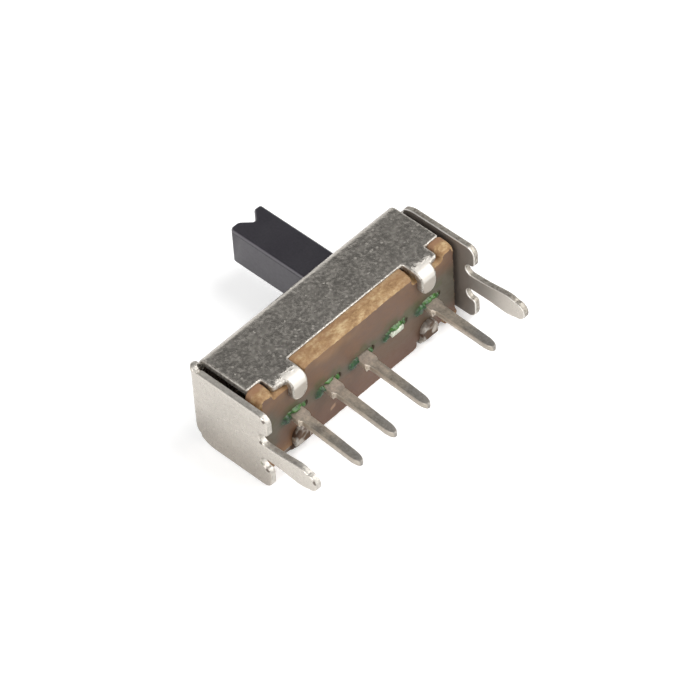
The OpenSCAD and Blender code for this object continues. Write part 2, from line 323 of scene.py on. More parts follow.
def cap(bm, rows, w, extra=(), flip=False):
    """Closes the first row, less the others, with triangles; extra points go inside them."""
    points, edges, known = [], [], []
    for row in rows:
        start = len(points)
        for i, vert in enumerate(row):
            points.append(vert.co.xy.copy())
            known.append(vert)
            edges.append((start + i, start + (i + 1) % len(row)))
    for p in extra:
        points.append(Vector(p))
        known.append(None)
    out, _, faces, ids, _, _ = geometry.delaunay_2d_cdt(points, edges, [], 0, 1e-6, True)
    outer, *holes = [[tuple(v.co.xy) for v in row] for row in rows]
    made = {}

    def vertex(k):
        if k not in made:
            own = [known[i] for i in ids[k] if i < len(known) and known[i] is not None]
            made[k] = own[0] if own else bm.verts.new((out[k].x, out[k].y, w))
        return made[k]

    new = []
    for face in faces:
        a, b, c = (out[k] for k in face)
        if (b - a).cross(c - a) < 1e-7:
            continue
        centre = (a + b + c) / 3
        if not inside(centre, outer) or any(inside(centre, hole) for hole in holes):
            continue
        corners = [vertex(k) for k in face]
        if flip:
            corners.reverse()
        if len(set(corners)) == len(corners):
            new.append(bm.faces.new(corners))
    return new


def wall(bm, rows, index=1):
    """Side faces between neighbouring rows of a loop."""
    for low, high in zip(rows, rows[1:]):
        for i in range(len(low)):
            j = (i + 1) % len(low)
            face = bm.faces.new((low[i], low[j], high[j], high[i]))
            face.material_index = index


def rows_of(bm, loop, rings, rough=None):
    """One row of vertices for each ring (height, inset) of a loop."""
    into = inward(loop)
    rows = []
    for w, inset in rings:
        row = []
        for (u, v), d in zip(loop, into):
            k = inset + (rough(u, v, w) if rough else 0)
            row.append(bm.verts.new((u + d.x * k, v + d.y * k, w)))
        rows.append(row)
    return rows


def slab(loops, rings, extra=()):
    """A closed slab: an outline with its holes, drawn up through the rings."""
    bm = bmesh.new()
    stacks = [rows_of(bm, turned(loop, i == 0), rings) for i, loop in enumerate(loops)]
    for rows in stacks:
        wall(bm, rows)
    cap(bm, [rows[0] for rows in stacks], rings[0][0], extra, flip=True)
    cap(bm, [rows[-1] for rows in stacks], rings[-1][0], extra)
    return bm


def broken_edge(low, high, edge, steps=3, roll=None):
    """Rings from low to high: edge is the rounding of the lower edge, roll of the upper one."""

    def quarter(radius):
        turn = [math.pi / 2 * i / steps for i in range(steps + 1)]
        return [(0.0, radius + 0.02)] + [
            (radius * (1 - math.cos(a)), radius * (1 - math.sin(a))) for a in turn
        ]

    upper = [(high - w, inset) for w, inset in reversed(quarter(edge if roll is None else roll))]
    return [(low + w, inset) for w, inset in quarter(edge)] + upper


def cut_rows(bm, axis, places):
    """Cuts the whole mesh across one axis at each place."""
    normal = Vector((0, 0, 0))
    normal[axis] = 1
    for place in places:
        at = Vector((0, 0, 0))
        at[axis] = place
        bmesh.ops.bisect_plane(
            bm,
            geom=bm.verts[:] + bm.edges[:] + bm.faces[:],
            dist=1e-5,
            plane_co=at,
            plane_no=normal,
        )


def place_all(bm, where):
    """Moves every vertex to where a function says, and from millimetres to metres."""
    for vert in bm.verts:
        vert.co = Vector(where(*vert.co)) * MM


def mesh_of(bm, name):
    """The solid as a mesh; its bmesh is used up."""
    mesh = bpy.data.meshes.new(name)
    bm.to_mesh(mesh)
    bm.free()
    return mesh


def piece(bm, name, materials, body, slot, *nodes, weighted=True, flat=()):
    """Turns the solid into a named piece that rides on a body and stands for CAD nodes."""
    bmesh.ops.recalc_face_normals(bm, faces=bm.faces[:])
    for face in bm.faces:
        face.smooth = True
    for face in flat:
        face.smooth = False
    mesh = mesh_of(bm, name)
    for material in materials:
        mesh.materials.append(material)
    obj = bpy.data.objects.new(name, mesh)
    bpy.context.scene.collection.objects.link(obj)
    if weighted:
        mod = obj.modifiers.new("Weighted normals", "WEIGHTED_NORMAL")
        mod.weight = 50
        mod.mode = "FACE_AREA"
        mod.keep_sharp = True
    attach(obj, body)
    if nodes:
        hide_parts(*nodes)
    return obj


# ------------------------------------------------------------------ materials


def stops_of(node, stops):
    """Sets a colour ramp's stops, each a place with a grey or a colour."""
    elements = node.color_ramp.elements
    while len(elements) < len(stops):
        elements.new(0.5)
    for element, (at, value) in zip(elements, stops):
        rgb = value if hasattr(value, "__len__") else (value,) * 3
        element.position = at
        element.color = (*rgb, 1.0)
    return node


class Paint:
    """A node material, built up layer by layer. Lengths in the patterns are in millimetres."""

    def __init__(self, name):
        self.material = bpy.data.materials.new(name)
        self.material.use_nodes = True
        self.tree = self.material.node_tree
        self.tree.nodes.clear()
        self.bsdf = self.add("BsdfPrincipled")
        self.put(self.bsdf.outputs[0], self.add("OutputMaterial").inputs[0])
        self.where = self.add("TexCoord").outputs["Object"]
        self.tone = None

    def put(self, value, socket):
        """Links another socket to this one, or sets its value."""
        if isinstance(value, bpy.types.NodeSocket):
            self.tree.links.new(value, socket)
        else:
            socket.default_value = value

    def set(self, node, **values):
        """Fills a node's sockets by name, with _ for a space."""
        for name, value in values.items():
            self.put(value, node.inputs[name.replace("_", " ")])
        return node

    def add(self, kind, **values):
        return self.set(self.tree.nodes.new("ShaderNode" + kind), **values)

    # Patterns

    def noise(self, size, detail=3.0, rough=0.6, stretch=None):
        vector = self.where
        if stretch:
            vector = self.add("Mapping", Vector=vector, Scale=stretch).outputs[0]
        node = self.add("TexNoise", Vector=vector, Scale=1 / (size * MM))
        return self.set(node, Detail=detail, Roughness=rough).outputs["Fac"]

    def spots(self, size):
        """Distance from scattered points, in shares of their spacing."""
        return self.add("TexVoronoi", Vector=self.where, Scale=1 / (size * MM)).outputs["Distance"]

    def place(self, axis):
        """A coordinate in millimetres."""
        return self.times(self.add("SeparateXYZ", Vector=self.where).outputs[axis], 1 / MM)

    def facing(self, axis):
        """How far the surface looks along an axis."""
        normal = self.add("TexCoord").outputs["Normal"]
        return self.add("SeparateXYZ", Vector=normal).outputs[axis]

    def attribute(self, name):
        node = self.add("Attribute")
        node.attribute_name = name
        return node.outputs["Fac"]

    # Numbers and masks

    def math(self, kind, *values):
        node = self.add("Math")
        node.operation = kind
        for value, socket in zip(values, node.inputs):
            self.put(value, socket)
        return node.outputs[0]

    def times(self, first, *others):
        """The product of masks and shares."""
        for other in others:
            first = self.math("MULTIPLY", first, other)
        return first

    def most(self, first, *others):
        """The largest of the masks."""
        for other in others:
            first = self.math("MAXIMUM", first, other)
        return first

    def rest(self, mask, share=None, whole=1.0):
        """What is left of the whole where a mask takes its share."""
        return self.math("SUBTRACT", whole, mask if share is None else self.times(mask, share))

    def off(self, value, at=None):
        """How far a value is from a place, or from zero."""
        return self.math("ABSOLUTE", value if at is None else self.math("SUBTRACT", value, at))

    def stir(self, value, pattern, by):
        """A value that wanders with a pattern."""
        return self.math("MULTIPLY_ADD", pattern, by, value)

    def between(self, value, low, high):
        """0 below low, 1 above high, smooth between; low may be the larger of the two."""
        rising = low < high
        node = self.add("MapRange", Value=value, From_Min=min(low, high), From_Max=max(low, high))
        node.interpolation_type = "SMOOTHSTEP"
        return self.set(node, To_Min=float(not rising), To_Max=float(rising)).outputs["Result"]

    def mark(self, size, soft=0.5, **place):
        """A small spot round a place, given by the coordinates that matter."""
        far = 0.0
        for axis, at in place.items():
            off = self.math("SUBTRACT", self.place(axis.upper()), at)
            far = self.math("MULTIPLY_ADD", off, off, far)
        return self.between(self.math("SQRT", far), size, size * (1 - soft))

    # Colours

    def ramp(self, fac, *stops):
        return stops_of(self.add("ValToRGB", Fac=fac), stops).outputs["Color"]

    def mix(self, fac, a, b, blend="MIX"):
        node = self.add("Mix")
        node.data_type = "RGBA"
        node.blend_type = blend
        self.put(fac, node.inputs["Factor"])
        for socket, value in ((node.inputs[6], a), (node.inputs[7], b)):
            if hasattr(value, "__len__") and len(value) == 3:
                value = (*value, 1.0)
            self.put(value, socket)
        return node.outputs[2]

    def lay(self, mask, colour, share=None):
        """Lays a colour over the tone where a mask says, wholly or by a share."""
        self.tone = self.mix(mask if share is None else self.times(mask, share), self.tone, colour)

    def tint(self, colour):
        """Multiplies the tone by a colour."""
        self.tone = self.mix(1.0, self.tone, colour, "MULTIPLY")

    def finish(self, *layers, **values):
        """Gives the surface its tone, its values and its layers of (height, depth in mm)."""
        self.set(self.bsdf, Base_Color=self.tone, **values)
        for height, depth in layers:
            node = self.add("Bump", Strength=1.0, Distance=depth * MM, Height=height)
            normal = self.bsdf.inputs["Normal"]
            if normal.is_linked:
                self.put(normal.links[0].from_socket, node.inputs["Normal"])
            self.put(node.outputs[0], normal)
        return self.material


def lower_tab_shade(p):
    """Where the lower tabs get painted shade, with spots left free where the bare metal shows."""
    low = p.times(p.between(p.place("Z"), 1.32, 1.2), p.between(p.place("Y"), -2.05, -2.15))
    near = p.times(low, p.between(p.off(p.place("X")), 4.7, 4.5))
    return p.times(near, p.between(p.noise(0.46, 1, 0.4), 0.62, 0.46))


def sheet_metal(plating):
    """Plated sheet with a dull grain and a few pits, painted highlight and shade on the tabs, and
    painted shade on the lower tabs and the end plates.
    """
    p = Paint("Plated sheet")
    x, y, z = p.place("X"), p.place("Y"), p.place("Z")
    wide = p.off(x)
    dimples, grains, flecks = p.noise(0.2), p.noise(0.145, 2), p.noise(0.26, 2)
    coarse, cloud = p.noise(0.42, 2, 0.5), p.noise(1.6, 3, 0.5)
    plate = p.between(wide, 5.72, 5.85)
    left_end, left_face = p.between(x, -5.7, -5.9), p.between(x, -5.9, -6.0)
    pitted = (0.10, 0.075, 0.06)

    p.tone = p.mix(p.ramp(cloud, (0.35, 0.0), (0.7, 1.0)), plating, (0.50, 0.48, 0.45))
    p.tint(p.ramp(dimples, (0.35, 0.8), (0.6, 1.0)))
    calm = p.rest(plate, 0.75)
    sparks = p.times(p.between(p.spots(0.36), 0.24, 0.10), p.between(cloud, 0.42, 0.56))
    dull = p.most(
        p.times(p.between(grains, 0.44, 0.70), 0.38),
        p.times(sparks, 0.65),
        p.times(p.between(flecks, 0.66, 0.73), 0.8),
    )
    dull = p.times(dull, calm)
    p.lay(plate, (0.70, 0.67, 0.63), 0.7)
    p.lay(dull, (0.76, 0.73, 0.685))

    # The tabs get a painted highlight on top and painted shade in front; their area begins at a
    # ragged line.
    ragged = p.stir(y, dimples, 0.8)
    tabs = p.times(p.between(wide, 4.7, 4.5), p.between(ragged, -1.36, -1.58))
    # Painted highlight on top of the tabs' folds.
    p.lay(p.times(tabs, p.between(z, 3.8, 4.0)), (0.70, 0.68, 0.65))
    calm = p.times(calm, p.rest(tabs, 0.7))
    # Painted shade on the tabs' fronts.
    p.lay(p.times(tabs, p.between(z, 4.0, 3.8)), (0.41, 0.375, 0.335), 0.85)
    p.tint((1.0, 0.975, 0.935))

    # Pits, dark marks at listed places and one green spot, most of them on the left plate.
    pit = p.times(p.between(p.spots(0.8), 0.11, 0.06), p.between(cloud, 0.48, 0.54))
    p.lay(p.times(pit, p.most(left_end, tabs)), pitted)
    plate_marks = (
        (0.14, -5.60, 2.42), (0.11, -2.84, 4.08), (0.11, -2.60, 2.64), (0.13, -2.88, 1.14)
    )
    tab_marks = ((-3.51, 3.34), (4.12, 3.12))
    dark_marks = p.times(p.most(*(p.mark(size, y=b, z=c) for size, b, c in plate_marks)), left_face)
    on_tab = p.between(y, -1.85, -1.95)
    for a, c in tab_marks:
        dark_marks = p.most(dark_marks, p.times(p.mark(0.10, x=a, z=c), on_tab, 0.6))
    p.lay(dark_marks, pitted, 0.85)
    p.lay(p.times(p.mark(0.16, y=-2.62, z=1.36), left_face), (0.16, 0.21, 0.10), 0.6)

    # Painted shade: the right plate is darkened inside, browner towards its fold, and the left
    # plate darker towards its lower edge.
    inner = p.times(p.between(x, 5.75, 5.85), p.between(x, 6.12, 6.05))
    inner = p.times(inner, p.between(p.facing("X"), -0.2, -0.6), p.between(y, -5.9, -3.4))
    p.lay(inner, p.mix(p.between(y, -3.2, -2.3), (0.100, 0.083, 0.069), (0.085, 0.060, 0.046)))
    foot = p.times(left_end, p.between(z, 2.6, 0.2))
    p.tint(p.mix(foot, (1.0, 1.0, 1.0), (0.72, 0.70, 0.685)))
    # Painted shade on the lower tabs: brown, for the dark reflection they show.
    tab_shade = lower_tab_shade(p)
    p.lay(tab_shade, (0.10, 0.062, 0.040))
    plain = p.most(tab_shade, inner, p.times(tabs, 0.5))
    return p.finish(
        (p.times(dimples, calm), 0.020), (p.times(coarse, calm), 0.012), (cloud, 0.02),
        Metallic=p.times(p.rest(dull, 0.40, 0.97), p.rest(plain)),
        Roughness=p.mix(plain, p.ramp(coarse, (0.35, 0.30), (0.65, 0.22)), (0.6, 0.6, 0.6)),
        Specular_IOR_Level=p.rest(tab_shade, 0.4, 0.5),
    )


def cut_metal():
    """Cut edge of the sheet: darker and rougher, with painted light on the left plate's edge,
    painted shade on the right plate's edge and a painted highlight along its inner lip.
    """
    p = Paint("Cut edge of the sheet")
    grain = p.noise(0.15, 4, 0.7)
    x = p.place("X")
    p.tone = p.ramp(grain, (0.32, (0.22, 0.195, 0.17)), (0.45, (0.44, 0.41, 0.37)),
                    (0.66, (0.70, 0.67, 0.61)))
    # Painted light: the left plate's cut edge is lighter.
    p.lay(p.between(x, -5.9, -6.0), p.mix(0.5, p.tone, (0.62, 0.59, 0.54)))
    # Painted shade on the right plate's cut edge, with a painted highlight along its inner lip.
    right = p.between(x, 5.9, 6.0)
    p.lay(right, p.mix(1.0, p.tone, (0.72, 0.70, 0.67), "MULTIPLY"))
    p.lay(p.times(right, p.between(x, 6.13, 6.10)), (0.88, 0.85, 0.80))
    sides = p.most(
        p.times(p.between(x, 4.1, 4.22), p.between(x, 4.6, 4.5)),
        p.times(p.between(x, -3.6, -3.48), p.between(x, -3.0, -3.1)),
    )
    # Painted shade on the lower tabs' cut edges, left off their sides.
    tab_shade = p.times(lower_tab_shade(p), p.rest(sides, 0.85))
    p.lay(tab_shade, (0.075, 0.042, 0.025))
    return p.finish(
        (grain, 0.025),
        Metallic=p.rest(tab_shade, 0.9, 0.9), Roughness=0.42, Specular_IOR_Level=0.3,
    )


def laminate(face, pitch):
    """Face of the paper laminate board: reddish brown, greyer along the row of slots."""
    p = Paint("Laminate face")
    x, z = p.place("X"), p.place("Z")
    fibre = p.noise(0.30, 4, 0.65, (1.0, 1.0, 1.6))
    cloud, wet = p.noise(2.4, 3, 0.55), p.noise(0.9)
    p.tone = p.ramp(fibre, (0.3, (0.145, 0.080, 0.052)), (0.7, face))
    p.lay(p.ramp(cloud, (0.42, 0.0), (0.62, 0.8)), (0.14, 0.090, 0.060))

    # Greyer along the slots and at the ends, with an olive film above the slots.
    p.lay(p.between(p.off(z, p.stir(1.95, cloud, 0.7)), 0.62, 0.12), (0.108, 0.091, 0.067), 0.8)
    ends = p.most(p.between(p.stir(x, cloud, 1.2), 4.3, 5.0),
                  p.between(p.stir(x, cloud, 1.0), -4.2, -4.7))
    p.lay(p.times(ends, p.between(p.off(z, 2.1), 1.45, 0.8)), (0.105, 0.092, 0.066), 0.85)
    olive = p.times(p.between(wet, 0.47, 0.62), p.between(p.off(z, 2.55), 0.5, 0.1))
    p.lay(olive, (0.080, 0.088, 0.034), 0.75)

    # Lighter under the upper rim, redder at the foot.
    p.lay(p.times(p.between(z, 3.3, 3.95), p.between(cloud, 0.42, 0.6)), (0.33, 0.18, 0.09), 0.6)
    p.lay(p.between(z, 1.5, 0.5), (0.165, 0.082, 0.060), 0.6)

    # A green haze beside each slot, a warm lower corner, worn ends and one scratch.
    beside, height = -0.56, 2.15
    haze = p.most(*(p.mark(0.42, 0.8, x=at * pitch + beside, z=height) for at in PLACES))
    p.lay(haze, (0.026, 0.056, 0.020), 0.75)
    warm = p.mix(p.between(z, 0.9, 0.4), (0.20, 0.098, 0.045), (0.31, 0.165, 0.075))
    p.lay(p.times(p.between(x, -3.7, -4.3), p.between(z, 1.35, 0.8)), warm, 0.85)
    worn = p.times(p.between(p.off(x), 4.6, 5.1), p.between(z, 0.7, 0.3))
    p.lay(p.times(worn, p.between(fibre, 0.42, 0.6)), (0.42, 0.24, 0.12))
    along = p.math("ABSOLUTE", p.math("ADD", x, 1.75))
    across = p.off(z, p.stir(1.26, x, 0.35))
    scratch = p.times(p.between(along, 0.19, 0.1), p.between(across, 0.13, 0.06))
    p.lay(scratch, (0.44, 0.28, 0.20), 0.8)
    p.tint((0.79, 0.76, 0.66))
    return p.finish((fibre, 0.008), Roughness=p.ramp(fibre, (0.3, 0.42), (0.7, 0.56)))


def laminate_edge(pulp):
    """Punched edge of the board: sheared near the case, then torn, pale and fibrous."""
    p = Paint("Laminate edge")
    flecks, cloud = p.noise(0.28, 4, 0.7, (0.8, 1.3, 0.8)), p.noise(0.8)
    p.tone = p.ramp(flecks, (0.3, (0.27, 0.145, 0.062)), (0.5, pulp), (0.66, (0.68, 0.50, 0.29)))
    p.lay(p.ramp(cloud, (0.46, 0.0), (0.66, 0.8)), (0.31, 0.165, 0.075))
    sheared = p.between(p.stir(p.place("Y"), cloud, 0.35), -1.62, -1.48)
    ears = p.between(p.off(p.place("X")), 4.5, 4.8)
    p.lay(p.times(sheared, p.stir(0.25, ears, 0.6)), (0.33, 0.17, 0.095))
    p.tint((0.80, 0.80, 0.76))
    return p.finish((flecks, 0.035), Roughness=0.7)


def strip_metal(tin):
    """Tinned strip of the terminals, warm and patchy, lighter near the board, with painted light on
    the faces towards -X.
    """
    p = Paint("Tinned strip")
    grain, patch = p.noise(0.14, 4, 0.7), p.noise(0.6, 4, 0.65, (1.4, 0.7, 1.4))
    x, y = p.place("X"), p.place("Y")
    p.tone = p.ramp(patch, (0.34, (0.31, 0.28, 0.245)), (0.5, tin), (0.66, (0.72, 0.63, 0.52)))
    p.lay(p.between(y, -2.95, -2.5), (0.70, 0.60, 0.51), 0.75)
    p.lay(p.between(y, -4.0, -5.2), (0.34, 0.325, 0.305), 0.75)
    p.tint(p.ramp(grain, (0.3, 0.66), (0.65, 1.0)))
    # Painted light: faces towards -X are lighter.
    p.lay(p.between(p.facing("X"), -0.4, -0.8), (0.86, 0.75, 0.61), 0.35)
    stub = p.times(p.between(x, 1.3, 1.4), p.between(x, 2.9, 2.8), p.between(y, -2.1, -2.2))
    p.lay(stub, p.ramp(grain, (0.38, (0.50, 0.53, 0.42)), (0.58, (0.80, 0.83, 0.71))))
    return p.finish(
        (grain, 0.012), (patch, 0.01),
        Metallic=0.85, Roughness=p.ramp(grain, (0.3, 0.5), (0.7, 0.36)),
    )


def compound(green):
    """Green sealing compound, bright where it is thin and brown where it only stains."""
    p = Paint("Sealing compound")
    lumps = p.noise(0.15)
    deep = p.ramp(lumps, (0.34, (0.004, 0.020, 0.005)), (0.55, (0.010, 0.056, 0.013)),
                  (0.74, (0.028, 0.104, 0.022)))
    bright = p.ramp(lumps, (0.34, (0.014, 0.072, 0.007)), (0.64, green))
    colour = p.mix(p.attribute("thin"), deep, bright)
    p.tone = p.mix(p.attribute("cover"), (0.105, 0.088, 0.052), colour)
    return p.finish((lumps, 0.035), Roughness=0.28, Coat_Weight=0.15, Coat_Roughness=0.1)


def lever_plastic(plastic):
    """Black moulded plastic with a soft gloss, painted light on its side towards -X, a painted
    highlight along the upper edge and painted shade in the parting seam.
    """
    p = Paint("Black plastic")
    grain, cloud, z = p.noise(0.10), p.noise(1.1, 2, 0.5), p.place("Z")
    p.tone = p.ramp(grain, (0.3, (0.009, 0.0078, 0.012)), (0.7, plastic))
    # Painted light: the side towards -X is lighter.
    side = p.between(p.facing("X"), -0.5, -0.9)
    p.lay(side, p.ramp(grain, (0.3, (0.028, 0.024, 0.031)), (0.7, (0.048, 0.042, 0.052))))
    # Painted highlight along the upper edge.
    p.lay(p.times(p.between(z, 3.10, 3.13), p.between(z, 3.19, 3.17)), (0.095, 0.088, 0.10))
    # Painted shade in the parting seam's groove.
    seam = p.times(p.between(p.off(z, 3.055), 0.035, 0.015), side)
    p.lay(seam, (0.006, 0.005, 0.006), 0.85)
    return p.finish(
        (grain, 0.002), (cloud, 0.006),
        Roughness=p.ramp(cloud, (0.3, 0.33), (0.7, 0.39)),
        Specular_IOR_Level=p.rest(seam, 0.6, 0.9),
    )


def contact_metal():
    """Bright spring strip of the moving contact."""
    p = Paint("Spring strip")
    grain = p.noise(0.1, 3, 0.6, (0.3, 1.0, 1.0))
    p.tone = p.ramp(grain, (0.3, (0.62, 0.45, 0.24)), (0.7, (0.78, 0.62, 0.38)))
    return p.finish((grain, 0.003), Metallic=1.0, Roughness=0.3)


def floor_paint():
    """White floor; to the camera and in mirrors a little light is added to reach plain white."""
    p = Paint("White floor")
    p.tone = p.ramp(p.noise(60.0, 2, 0.5), (0.3, 0.89), (0.7, 0.9))
    path = p.add("LightPath").outputs
    camera = path["Is Camera Ray"]
    seen = p.most(camera, path["Is Glossy Ray"], path["Is Transmission Ray"])
    return p.finish(
        Roughness=0.9,
        Specular_IOR_Level=0.0,
        Emission_Color=(1.0, 1.0, 1.0, 1.0),
        Emission_Strength=p.stir(p.times(seen, 0.14), camera, 0.2),
    )


# --------------------------------------------------------------------- pieces


def fixed_sizes():
    """What the pieces share, in millimetres, taken from the CAD nodes' boxes."""
    low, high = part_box("case")
    board_low, board_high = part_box("terminal_board")
    lead_low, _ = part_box("terminal_1")
    slider_low, slider_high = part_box("slider")
    return {
        "plate_x": high.x / MM,
        "front": high.y / MM,
        "leg_tip": low.y / MM,
        "height": (high.z - low.z) / MM,
        "mid": (high.z + low.z) / 2 / MM,
        "rim": board_high.y / MM,
        "board_out": board_low.y / MM,
        "board_half": board_high.x / MM,
        "lead_tip": lead_low.y / MM,
        "lever_tip": slider_high.y / MM,
        "slider_mid": (slider_low.x + slider_high.x) / 2 / MM,
        "carriage_half": (slider_high.x - slider_low.x) / 2 / MM,
        "carriage_half_z": (slider_high.z - slider_low.z) / 2 / MM,
        "rail_low": slider_low.y / MM,
    }


def in_mm(group):
    """A property group's lengths in millimetres, by name."""
    values = {name: getattr(group, name) for name in group.__annotations__}
    return {name: value / MM for name, value in values.items() if isinstance(value, float)}


def smooth_line(points, steps=5):
    """A smooth line through the points."""
    out = []
    n = len(points)
    for i in range(n - 1):
        p0, p1 = Vector(points[max(0, i - 1)]), Vector(points[i])
        p2, p3 = Vector(points[i + 1]), Vector(points[min(n - 1, i + 2)])
        for k in range(steps):
            t = k / steps
            q = 0.5 * (2 * p1 + (p2 - p0) * t + (2 * p0 - 5 * p1 + 4 * p2 - p3) * t * t
                       + (3 * p1 - p0 - 3 * p2 + p3) * t ** 3)
            out.append(tuple(q))
    return out + [tuple(points[-1])]


def case_blank(s, c):
    """Outline of the flat blank and what the folds need."""
    t, r = c["sheet"], c["fold"]
    neutral = r - t / 2
    bend = math.pi / 2 * neutral
    u0, v0 = s["plate_x"] - r, s["height"] / 2 - r
    half = c["wall"] / 2
    rim = v0 + bend + c["depth"] - r
    raised = rim + s["rim"] - s["board_out"]
    tab_mid = c["tab_fold"] - t / 2
    tab_start = raised + t - c["tab_fold"] + tab_mid * math.sin(LEAD_IN)
    tab_bend = (math.pi / 2 - LEAD_IN) * tab_mid
    tab_end = tab_start + tab_bend + c["tab_reach"] - c["tab_fold"] - c["tab"] / 2
    w, plate = c["tab"] / 2, c["plate"] / 2
    root, wide = c["leg_root"] / 2, c["leg_wide"] / 2
    relief, shoulder = c["relief"], c["shoulder"]

    def out(y):
        """A place on the finished plate, along the blank."""
        return u0 + bend + (s["front"] - r) - y

    end_u = out(s["leg_tip"] + c["leg"])

    def walls(x):
        """A side wall's rim, with the tab at x and the raised shoulder at the wall's end."""
        nick, shoulder_turn, rim_turn, end_turn = 0.03, 0.14, 0.05, 0.12
        shoulder_up = tab_start - 0.02
        path = [(0, rim), (x - w - nick, rim), (x - w, rim + nick)]
        path += arc(x, tab_end, w, 180, 0, 12)
        return path + rounded(
            [(x + w, tab_start + 0.3), (x + w, shoulder_up), (c["ear"], shoulder_up - 0.07),
             (c["ear"], rim), (half, rim), (half, rim - 1.0)],
            [0, shoulder_turn, shoulder_turn, rim_turn, end_turn, 0],
        )

    def leg(edge=plate, short=0.0):
        """Half of a plate's far end: the shoulder, the round relief and the leg to its tip."""
        deep = c["relief_deep"] - relief
        turn = min(c["shoulder_in"], deep)
        path = arc(end_u - shoulder, edge - shoulder, shoulder, 90, 0, 8)
        path += arc(end_u - turn, root + 2 * relief + turn, turn, 0, -90, 6)
        path += arc(end_u - deep, root + relief, relief, 90, 270, 10)
        # The waist and the swell of a leg, drawn for this length and stretched to the real one.
        drawn, tip_r = 2.75, 0.44
        line = [(0.0, root), (0.4, root + 0.01), (0.9, root + 0.045), (1.35, wide - 0.03),
                (1.7, wide), (2.0, wide - 0.03), (2.27, wide - 0.11)]
        tip = out(s["leg_tip"]) - short
        scale = (tip - end_u) / drawn
        path += smooth_line([(end_u + a * scale, b) for a, b in line])
        return path + arc(tip - tip_r, 0, tip_r, 78, 0, 12)

    def corner(radius, edge=plate, steps=30):
        """The plate's front corner, developed into the blank."""
        path = []
        for i in range(steps + 1):
            along = (bend + radius) * i / steps
            y = s["front"] - r - (along - bend)
            if along <= bend:
                y = s["front"] - r + neutral * math.cos(along / neutral) + t / 2
            drop = max(0.0, y - (s["front"] - radius))
            v = edge - radius + math.sqrt(max(0.0, radius ** 2 - drop ** 2))
            path.append((u0 + along, v))
            if drop <= 0:
                break
        return path

    slit, slit_top = c["slit"], v0 - 0.03
    slit_end = [(half, slit_top), (half + slit / 2, slit_top - 0.03), (half + slit, slit_top)]

    def plate_lobe(lobe_r=0.28):
        """The left plate's upper front end: the fold squeezes out into a round lobe."""
        cu, cv = half + slit + lobe_r, plate + c["lobe"] - lobe_r
        path = slit_end + arc(cu, cv, lobe_r, 180, 40, 12)
        path += [(cu + lobe_r * 0.98, plate - 0.06), (cu + lobe_r + 0.1, plate)]
        return path + leg(plate, LEFT_LEG_SHORT)

    def plate_low(drop, short=0.0):
        edge = plate + drop
        return [(half, edge - c["corner"])] + corner(c["corner"], edge) + leg(edge, short)

    def flip(path, a, b):
        return [(a * p[0], b * p[1]) for p in path]

    right, left = c["tab_place"] + c["tab_off"], c["tab_place"] - c["tab_off"]
    right_drop = 0.3 * c["drop"]
    loop = walls(right) + slit_end + corner(c["corner_top"]) + leg()
    loop += flip(walls(right) + plate_low(right_drop), 1, -1)[::-1]
    loop += flip(walls(left) + plate_low(c["drop"], LEFT_LEG_SHORT), -1, -1)
    loop += flip(walls(left) + plate_lobe(), -1, 1)[::-1]
    fold = {"t": t, "r": r, "neutral": neutral, "bend": bend, "u0": u0, "v0": v0, "half": half,
            "tab_start": tab_start, "tab_bend": tab_bend, "tab_r": c["tab_fold"],
            "tab_out": s["board_out"] - t + c["tab_fold"],
            "lobe_from": plate - 0.15, "flare": c["flare"], "leg_from": end_u - 0.4}
    return loop, fold


def fold_up(s, f):
    """The move from the flat blank to the folded case."""
    mid, front = s["mid"], s["front"]
    yc = front - f["r"]
    rt = f["tab_r"] - f["t"] / 2
    lean = 0.5 * math.tan(LEAD_IN) * SAG
    zc = s["height"] / 2 - f["tab_r"] - (lean - rt * (1 - math.cos(LEAD_IN)))

    def wall_or_tab(u, v, w):
        """A long side: the fold, the wall leaning in near its tabs, a tab's fold, a tab."""
        side, along = math.copysign(1, v), abs(v) - f["v0"]
        past = abs(v) - f["tab_start"]
        if along <= f["bend"]:
            a = along / f["neutral"]
            r = f["neutral"] + w
            return u, yc + r * math.cos(a), mid + side * (f["v0"] + r * math.sin(a))
        if past <= 0:
            near = max(0.0, 1 + past / SAG)
            tilt = LEAD_IN * near
            out = f["v0"] + f["neutral"] - lean * near ** 2 + w * math.cos(tilt)
            return u, yc - (along - f["bend"]) - w * math.sin(tilt), mid + side * out
        if past <= f["tab_bend"]:
            b = LEAD_IN + past / rt
            r = (rt + w) * (1 - TAB_FLAT * math.sin(2 * b) if v < 0 else 1)
            return u, f["tab_out"] - r * math.sin(b), mid + side * (zc + r * math.cos(b))
        return u, f["tab_out"] - (rt + w), mid + side * (zc - (past - f["tab_bend"]))

    def plate(u, v, w):
        """An end plate: its fold bulges, and the right leg leans out."""
        left, along = u < 0, abs(u) - f["u0"]
        lobe = held((v - f["lobe_from"]) / 0.1) if left else 0.0
        swell = SWELL_LOBE * lobe * math.sin(math.pi * min(1.0, along / (1.3 * f["bend"])))
        share = min(1.0, along / f["bend"])
        swell += (SWELL_LEFT if left else SWELL_RIGHT) * math.sin(math.pi * share)
        r = f["neutral"] + w + swell
        a = along / f["neutral"]
        x, y = f["u0"] + r, yc - (along - f["bend"])
        if along <= f["bend"]:
            x, y = f["u0"] + r * math.sin(a), yc + r * math.cos(a)
        past = 0.0 if left else max(0.0, abs(u) - f["leg_from"])
        if not left:
            x += f["flare"] * share + LEG_LEANS_OUT * past
        return math.copysign(x, u), y, mid + v + LEG_LEANS_UP * past

    def where(u, v, w):
        if abs(u) <= f["half"] + 1e-4 and abs(v) > f["v0"]:
            return wall_or_tab(u, v, w)
        if abs(u) > f["u0"]:
            return plate(u, v, w)
        return u, front - f["t"] / 2 + w, mid + v

    return where


